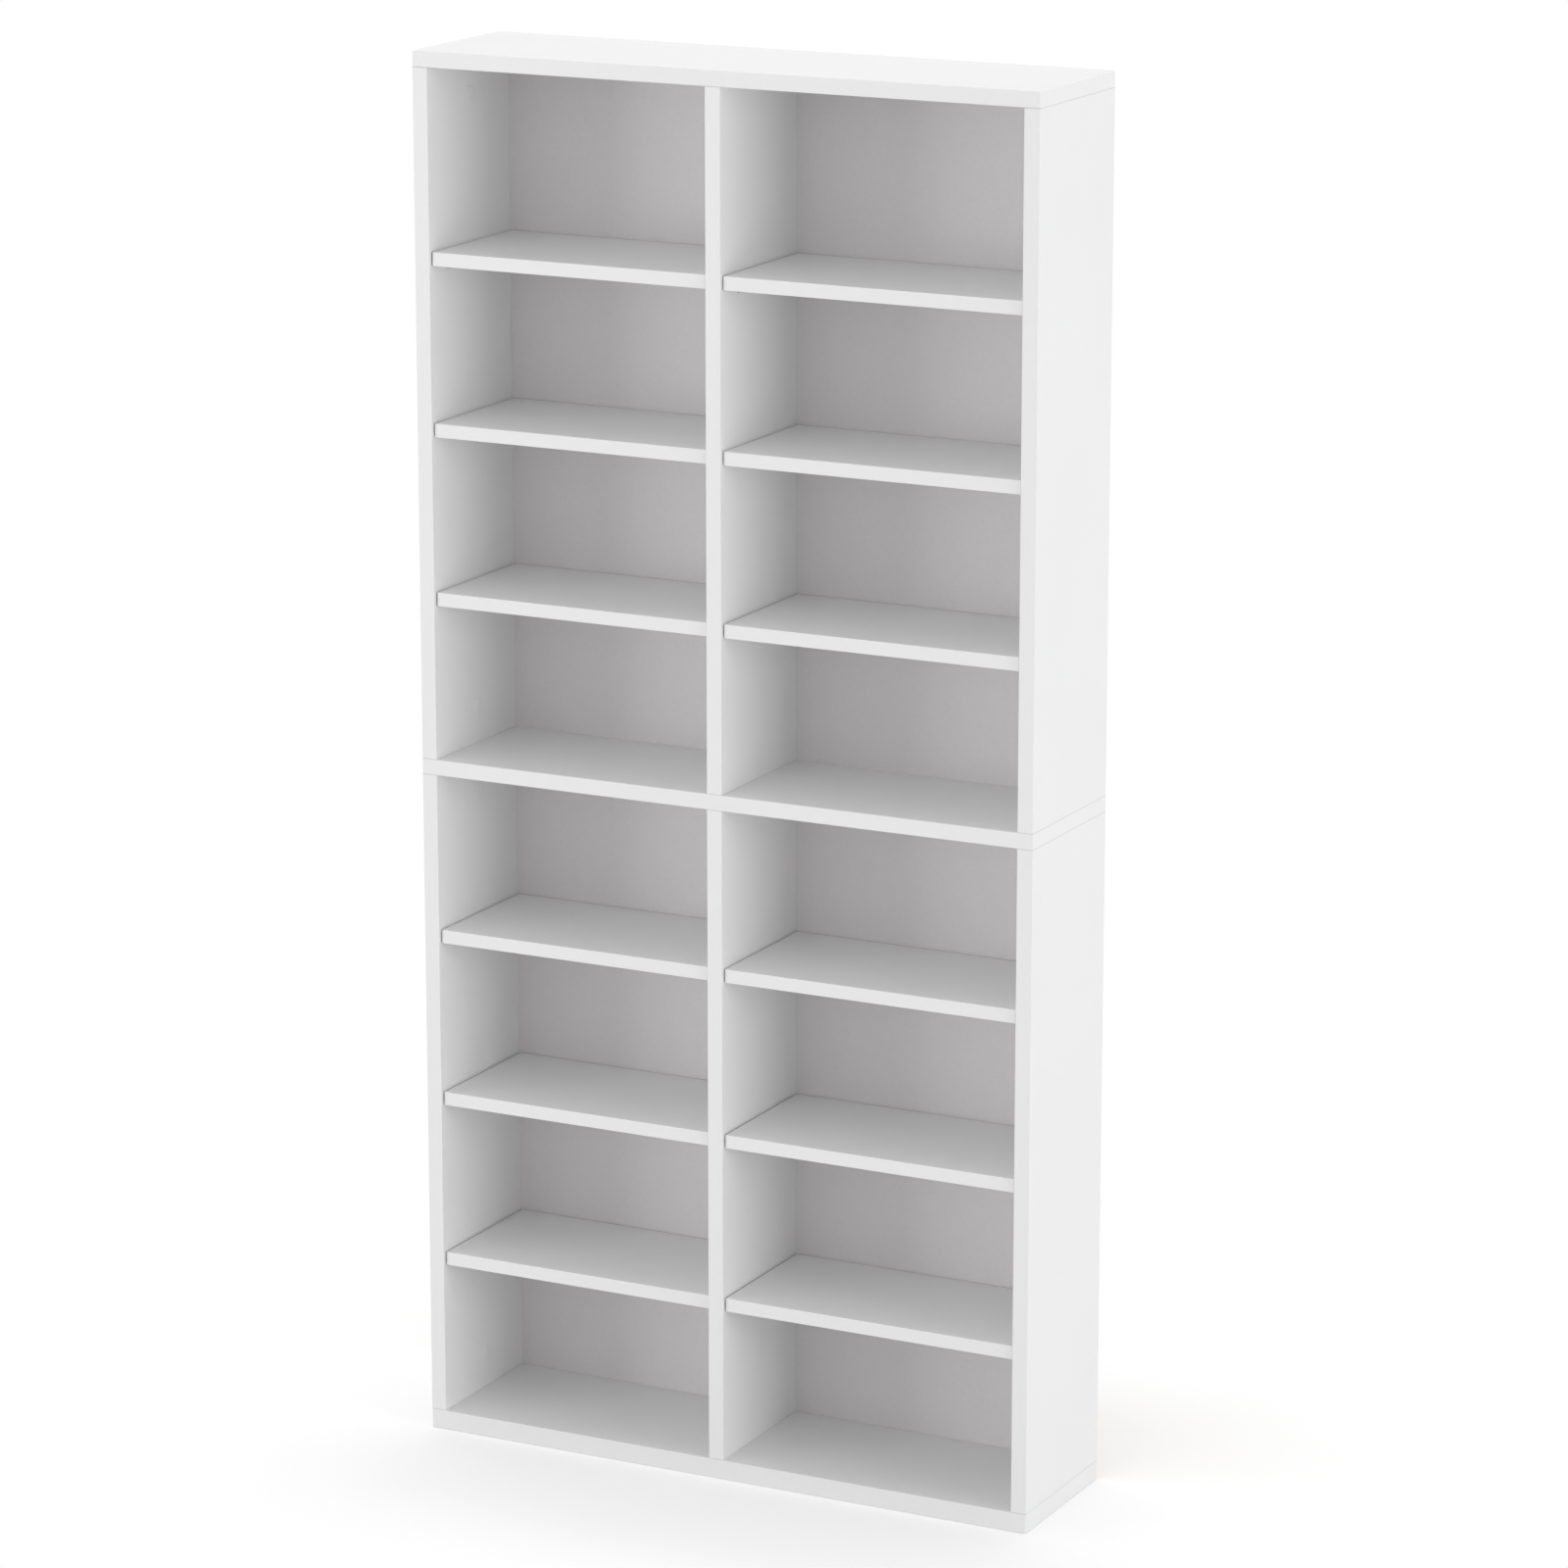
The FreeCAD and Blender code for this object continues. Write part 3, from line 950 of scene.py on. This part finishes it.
@dataclass
class CamFittings(SubAssembly):
    """Cam locks in the uprights, each under a thin round cap."""

    title: str = "cam fittings"
    inset_mm: float = 34.0
    cap_radius_mm: float = 8.5
    cap_thickness_mm: float = 0.8
    crown_mm: float = 0.12
    foot_inset_mm: float = 0.1
    rim_round_mm: float = 0.45
    rim_steps: int = 4
    crown_steps: int = 3
    sides: int = 64
    peg_reach_mm: float = 2.8
    peg_width_mm: float = 1.2
    peg_depth_mm: float = 1.9
    crease_degrees: float = 40.0
    # Which way the face with the cam looks along X
    faces: dict[Upright, int] = field(
        default_factory=lambda: {
            Upright.LEFT_SIDE: 1,
            Upright.DIVIDER: -1,
            Upright.RIGHT_SIDE: -1,
        }
    )

    def cap_profile(self) -> list[tuple[float, float]]:
        """Work out the cap's half section.

        Returns:
            Radius and level pairs in millimetres, from the foot of the rim to the crown.
        """
        rim_top = self.cap_thickness_mm - self.crown_mm
        profile = [(self.cap_radius_mm - self.foot_inset_mm, 0.0)]
        for step in range(self.rim_steps + 1):
            turn = QUARTER_TURN * step / self.rim_steps
            inward = self.rim_round_mm * (1 - math.cos(turn))
            drop = self.rim_round_mm * (1 - math.sin(turn))
            profile.append((self.cap_radius_mm - inward, rim_top - drop))
        flat = self.cap_radius_mm - self.rim_round_mm
        for step in range(1, self.crown_steps + 1):
            radius = flat * (1 - step / (self.crown_steps + 1))
            profile.append((radius, self.cap_thickness_mm - self.crown_mm * (radius / flat) ** 2))
        return profile

    def add_peg(self, mesh: BMesh, place: Matrix) -> None:
        """Extrude the cross peg that holds a cap in the cam's driver recess.

        Args:
            mesh: Mesh that the peg goes into.
            place: Moves the peg as the cap.
        """
        reach, half = self.peg_reach_mm, self.peg_width_mm / 2
        arm = [(reach, -half), (reach, half), (half, half)]
        corners = []
        for quarter in range(QUARTERS):
            turn = Matrix.Rotation(QUARTER_TURN * quarter, 2)
            corners += [turn @ Vector(corner) for corner in arm]
        levels = (-self.peg_depth_mm, 0.0)
        rings = [[Vector((*corner, level)) for corner in corners] for level in levels]
        add_skin(mesh, place, rings)

    def build(self) -> None:
        """Turn the caps of each module and keep the cam locks under them."""
        for module in Module:
            mesh = bmesh.new()
            for upright, way in self.faces.items():
                low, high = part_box(f"{module.value}_{upright.value}")
                plane = high.x if way > 0 else low.x
                turn = Matrix.Rotation(QUARTER_TURN * way, 4, "Y")
                for level in (low.z + metres(self.inset_mm), high.z - metres(self.inset_mm)):
                    place = Matrix.Translation((plane, 0.0, level)) @ turn
                    add_turned(mesh, place, self.cap_profile(), self.sides)
                    self.add_peg(mesh, place)
            name = f"{module.value}_cam_caps"
            self.keep(mesh, name, f"{module.value}_cam_covers", self.crease_degrees)
            self.pieces.append(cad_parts[f"{module.value}_cam_locks"])

    def dress(self) -> None:
        """White plastic on the caps, cast zinc on the locks."""
        self.paint(WHITE_POLYPROPYLENE, "_cam_caps")
        self.paint(DIE_CAST_ZINC, "_cam_locks")


@dataclass
class HiddenFixings(SubAssembly):
    """Threaded cam bolts and grooved dowels inside the joints.

    Their radii are those that fit inside the eight flats of the CAD's rods and bores.
    """

    title: str = "bolts and dowels"
    sides: int = 32
    ease_mm: float = 0.3
    shank_mm: float = 2.12
    neck_mm: float = 1.57
    neck_length_mm: float = 5.0
    cone_length_mm: float = 1.4
    head_mm: float = 3.05
    head_length_mm: float = 3.4
    collar_mm: float = 3.23
    collar_height_mm: float = 1.5
    link_mm: float = 2.77
    core_mm: float = 1.75
    tip_mm: float = 1.1
    tip_length_mm: float = 1.2
    thread_mm: float = 2.31
    pitch_mm: float = 2.0
    ridge_mm: float = 1.1
    # The ridge is rooted this far inside the core, and runs out over this share of its length
    root_mm: float = 0.15
    runout_share: float = 0.06
    dowel_mm: float = 3.7
    dowel_chamfer_mm: float = 1.0
    dowel_rows_mm: tuple[float, ...] = (-40.0, 40.0)
    flutes: int = 18
    flute_mm: float = 0.3
    crease_degrees: float = 30.0

    def bolt_top(self, reach: float) -> list[tuple[float, float]]:
        """Work out the half section of a cam bolt above the board that holds it.

        Args:
            reach: How far the head's end stands from the board's face, in millimetres.

        Returns:
            Radius and level pairs in millimetres, from the shank to the end of the head.
        """
        cone = reach - self.head_length_mm
        step = cone - self.neck_length_mm
        return [
            (self.shank_mm, step - self.ease_mm),
            (self.neck_mm, step),
            (self.neck_mm, cone),
            (self.head_mm, cone + self.cone_length_mm),
            (self.head_mm, reach - self.ease_mm),
            (self.head_mm - self.ease_mm, reach),
        ]

    def add_thread(self, mesh: BMesh, place: Matrix, low: float, high: float) -> None:
        """Wind the ridge of the thread round the core.

        Args:
            mesh: Mesh that the ridge goes into.
            place: Moves the ridge as the bolt.
            low: Level in millimetres where the ridge starts.
            high: Level in millimetres where it ends.
        """
        turns = (high - low) / self.pitch_mm
        steps = round(turns * self.sides)
        inner = self.core_mm - self.root_mm
        rings = []
        for step in range(steps + 1):
            along = step / steps
            swell = min(1.0, along / self.runout_share, (1 - along) / self.runout_share)
            crest = self.core_mm + (self.thread_mm - self.core_mm) * swell
            spin = Matrix.Rotation(math.tau * turns * along, 3, "Z")
            section = [(inner, -self.ridge_mm / 2), (crest, 0.0), (inner, self.ridge_mm / 2)]
            level = low + (high - low) * along
            rings.append([spin @ Vector((radius, 0.0, level + rise)) for radius, rise in section])
        add_skin(mesh, place, rings)

    def add_end_bolt(self, mesh: BMesh, place: Matrix, depth: float, reach: float) -> None:
        """Turn and thread a bolt that is screwed into a board.

        Args:
            mesh: Mesh that the bolt goes into.
            place: Moves the bolt so that level zero lies on the board's face.
            depth: How far the thread goes into the board, in millimetres.
            reach: How far the head's end stands from the face, in millimetres.
        """
        collar, height = self.collar_mm, self.collar_height_mm
        foot = [
            (self.tip_mm, -depth),
            (self.core_mm, self.tip_length_mm - depth),
            (self.core_mm, 0.0),
            (collar - self.ease_mm, 0.0),
            (collar, self.ease_mm),
            (collar, height - self.ease_mm),
            (collar - self.ease_mm, height),
            (self.shank_mm, height),
        ]
        add_turned(mesh, place, foot + self.bolt_top(reach), self.sides)
        self.add_thread(mesh, place, self.tip_length_mm - depth, -self.ridge_mm / 2)

    def add_link_bolt(self, mesh: BMesh, place: Matrix, half_board: float, reach: float) -> None:
        """Turn a double-ended bolt that goes through a board.

        Args:
            mesh: Mesh that the bolt goes into.
            place: Moves the bolt so that level zero lies in the middle of the board.
            half_board: Half the board's thickness in millimetres.
            reach: How far each head's end stands from the board's face, in millimetres.
        """
        upper = [
            (self.link_mm, half_board - self.ease_mm),
            (self.link_mm - self.ease_mm, half_board),
            (self.shank_mm, half_board),
        ]
        upper += [(radius, half_board + level) for radius, level in self.bolt_top(reach)]
        lower = [(radius, -level) for radius, level in reversed(upper)]
        add_turned(mesh, place, lower + upper, self.sides)

    def add_dowel(self, mesh: BMesh, place: Matrix, low: float, high: float) -> None:
        """Turn a dowel and press the glue grooves along it.

        Args:
            mesh: Mesh that the dowel goes into.
            place: Moves the dowel to its place, but not in height.
            low: Level of its lower end in millimetres.
            high: Level of its upper end in millimetres.
        """
        radius = self.dowel_mm
        grooved = [radius, radius, radius - self.flute_mm] * self.flutes
        plain = [radius - self.dowel_chamfer_mm] * len(grooved)
        rings = [
            ring_of(plain, low),
            ring_of(grooved, low + self.dowel_chamfer_mm),
            ring_of(grooved, high - self.dowel_chamfer_mm),
            ring_of(plain, high),
        ]
        add_skin(mesh, place, rings)

    def upright_middles(self) -> list[float]:
        """Read from the CAD where along X the middle of each upright is, in metres."""
        boxes = [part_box(f"{Module.LOWER.value}_{upright.value}") for upright in Upright]
        return [(low.x + high.x) / 2 for low, high in boxes]

    def build_bolts(self, joint: Joint) -> None:
        """Make the cam bolts of one row of joints.

        Args:
            joint: The row.
        """
        low, high = (corner.z * MM_PER_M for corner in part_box(f"{joint.value}_bolts"))
        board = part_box(JOINT_BOARDS[joint])
        under, over = (corner.z * MM_PER_M for corner in board)
        mesh = bmesh.new()
        for middle in self.upright_middles():
            if joint is Joint.LINK:
                place = Matrix.Translation((middle, 0.0, metres((under + over) / 2)))
                self.add_link_bolt(mesh, place, (over - under) / 2, high - over)
            elif joint is Joint.FOOT:
                place = Matrix.Translation((middle, 0.0, metres(over)))
                self.add_end_bolt(mesh, place, over - low, high - over)
            else:
                down = Matrix.Rotation(math.pi, 4, "X")
                place = Matrix.Translation((middle, 0.0, metres(under))) @ down
                self.add_end_bolt(mesh, place, high - under, under - low)
        name = f"{joint.value}_threaded_bolts"
        self.keep(mesh, name, f"{joint.value}_bolts", self.crease_degrees)

    def build_dowels(self, joint: Joint) -> None:
        """Make the dowels of one row of joints.

        Args:
            joint: The row.
        """
        low, high = (corner.z * MM_PER_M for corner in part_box(f"{joint.value}_dowels"))
        mesh = bmesh.new()
        for middle in self.upright_middles():
            for row in self.dowel_rows_mm:
                place = Matrix.Translation((middle, metres(row), 0.0))
                self.add_dowel(mesh, place, low, high)
        name = f"{joint.value}_grooved_dowels"
        self.keep(mesh, name, f"{joint.value}_dowels", self.crease_degrees)

    def build(self) -> None:
        """Make the bolts and the dowels of each row."""
        for joint in Joint:
            self.build_bolts(joint)
            self.build_dowels(joint)

    def dress(self) -> None:
        """Zinc plating on the bolts, raw beech on the dowels."""
        self.paint(ZINC_PLATED_STEEL, "_bolts")
        self.paint(RAW_BEECH, "_dowels")


@dataclass(frozen=True)
class SoftLamp:
    """A large square lamp, its place and side in metres and its power in watts."""

    name: str
    place: tuple[float, float, float]
    side: float
    power: float


@dataclass
class Studio:
    """Pale floor, soft light and the camera, with sizes in metres where no unit is named."""

    floor_reach: float = 40.0
    floor_level_mm: float = -0.2
    floor_colour: str = "#DCDCDC"
    # Light that the floor adds where it is seen, so that only the contact shadow stays grey
    floor_glow: float = 0.33
    # The floor keeps its shadow near the bookcase and turns plain white farther off
    shadow_reach: float = 0.12
    white_reach: float = 0.32
    white: str = "#FFFFFF"
    world_light: float = 0.8
    # The lamps look at this point, about the middle of the bookcase
    target: tuple[float, float, float] = (0.0, 0.0, 0.66)
    lamps: tuple[SoftLamp, ...] = (
        SoftLamp("left_lamp", (-5.2, -4.8, 0.8), 2.6, 116.0),
        SoftLamp("overhead_lamp", (-0.3, 0.5, 4.6), 1.6, 29.0),
        SoftLamp("right_lamp", (6.4, -1.4, 0.8), 2.6, 138.0),
    )
    # Found by fitting a pinhole camera to edges of the photograph
    camera_place: tuple[float, float, float] = (2.4813, -4.8257, 2.0181)
    camera_yaw_degrees: float = 26.976
    camera_pitch_degrees: float = 14.073
    lens_mm: float = 138.411
    sensor_mm: float = 36.0

    def seen_directly(self, tree: Tree) -> Socket:
        """Tell rays that show the surroundings from rays that light the bookcase.

        Args:
            tree: Node tree of the floor or the world.

        Returns:
            One for camera, glossy and transmission rays, zero for the others.
        """
        path = add_node(tree, "ShaderNodeLightPath")
        seen = path.outputs["Is Camera Ray"]
        for kind in ("Is Glossy Ray", "Is Transmission Ray"):
            pair = {0: seen, 1: path.outputs[kind]}
            seen = add_node(tree, "ShaderNodeMath", pair, operation="MAXIMUM").outputs[0]
        return seen

    def far_share(self, tree: Tree) -> Socket:
        """Measure on the floor how far a point lies outside the bookcase's footprint.

        Args:
            tree: Node tree of the floor.

        Returns:
            Zero as far as the shadow reaches, one where the floor is plain white.
        """
        place = add_node(tree, "ShaderNodeTexCoord").outputs["Object"]
        corner, zero = (CAD_BOX[1].x, CAD_BOX[1].y, 0.0), (0.0, 0.0, 0.0)
        for operation, other in (("ABSOLUTE", zero), ("SUBTRACT", corner), ("MAXIMUM", zero)):
            step = {0: place, 1: other}
            place = add_node(tree, "ShaderNodeVectorMath", step, operation=operation).outputs[0]
        away = add_node(tree, "ShaderNodeVectorMath", {0: place}, operation="LENGTH")
        step = {0: away.outputs["Value"], 1: self.shadow_reach, 2: self.white_reach}
        fade = add_node(tree, "ShaderNodeMapRange", step, interpolation_type="SMOOTHSTEP")
        return fade.outputs[0]

    def build_floor(self) -> None:
        """Lay the floor, which shows white but for the soft shadow round the bookcase."""
        reach = self.floor_reach
        level = metres(self.floor_level_mm)
        corners = [(-reach, -reach), (reach, -reach), (reach, reach), (-reach, reach)]
        data = bpy.data.meshes.new("floor")
        data.from_pydata([(x, y, level) for x, y in corners], [], [(0, 1, 2, 3)])
        floor = add_object("floor", data)
        material = bpy.data.materials.new("painted_floor")
        tree = clear_tree(material)
        paint = add_node(tree, "ShaderNodeBsdfDiffuse", {0: to_linear(self.floor_colour)})
        glow = add_node(tree, "ShaderNodeEmission", {"Strength": self.floor_glow})
        near = add_node(tree, "ShaderNodeAddShader", {0: paint.outputs[0], 1: glow.outputs[0]})
        plain = {0: to_linear(self.white), "Strength": 1.0}
        far = add_node(tree, "ShaderNodeEmission", plain)
        parts = {0: self.far_share(tree), 1: near.outputs[0], 2: far.outputs[0]}
        shown = add_node(tree, "ShaderNodeMixShader", parts)
        parts = {0: self.seen_directly(tree), 1: paint.outputs[0], 2: shown.outputs[0]}
        surface = add_node(tree, "ShaderNodeMixShader", parts)
        add_node(tree, "ShaderNodeOutputMaterial", {"Surface": surface.outputs[0]})
        data.materials.append(material)

    def build_world(self) -> None:
        """Light from all round, with a white background."""
        world = bpy.data.worlds.new("white_room")
        bpy.context.scene.world = world
        tree = clear_tree(world)
        white = to_linear(self.white)
        soft = {"Color": white, "Strength": self.world_light}
        light = add_node(tree, "ShaderNodeBackground", soft)
        seen = add_node(tree, "ShaderNodeBackground", {"Color": white, "Strength": 1.0})
        parts = {0: self.seen_directly(tree), 1: light.outputs[0], 2: seen.outputs[0]}
        surface = add_node(tree, "ShaderNodeMixShader", parts)
        add_node(tree, "ShaderNodeOutputWorld", {"Surface": surface.outputs[0]})

    def build_lamps(self) -> None:
        """Hang the soft lamps."""
        for lamp in self.lamps:
            data = bpy.data.lights.new(lamp.name, "AREA")
            data.size = lamp.side
            data.energy = lamp.power
            light = add_object(lamp.name, data)
            light.location = lamp.place
            away = Vector(lamp.place) - Vector(self.target)
            light.rotation_euler = away.to_track_quat("Z", "Y").to_euler()

    def build_camera(self) -> None:
        """Set the camera at the photograph's viewing angle."""
        data = bpy.data.cameras.new("camera")
        data.sensor_width = self.sensor_mm
        data.lens = self.lens_mm
        data.clip_end = 2 * self.floor_reach
        camera = add_object("camera", data)
        camera.location = self.camera_place
        tilt = QUARTER_TURN - math.radians(self.camera_pitch_degrees)
        camera.rotation_euler = (tilt, 0.0, math.radians(self.camera_yaw_degrees))
        bpy.context.scene.camera = camera

    def build(self) -> None:
        """Set up everything around the bookcase."""
        bpy.context.scene.view_settings.view_transform = "Standard"
        self.build_floor()
        self.build_world()
        self.build_lamps()
        self.build_camera()
        LOG.info("studio: floor, world, %d lamps and camera", len(self.lamps))


def main() -> None:
    """Build the studio, then each sub-assembly in order."""
    logging.basicConfig(level=logging.INFO, format="%(message)s")
    Studio().build()
    assemblies = (
        FixedBoards(),
        LooseShelves(),
        BackPanels(),
        ShelfPins(),
        CamFittings(),
        HiddenFixings(),
    )
    for assembly in assemblies:
        assembly.build()
        assembly.dress()
        assembly.report()


if __name__ == "__main__":
    main()
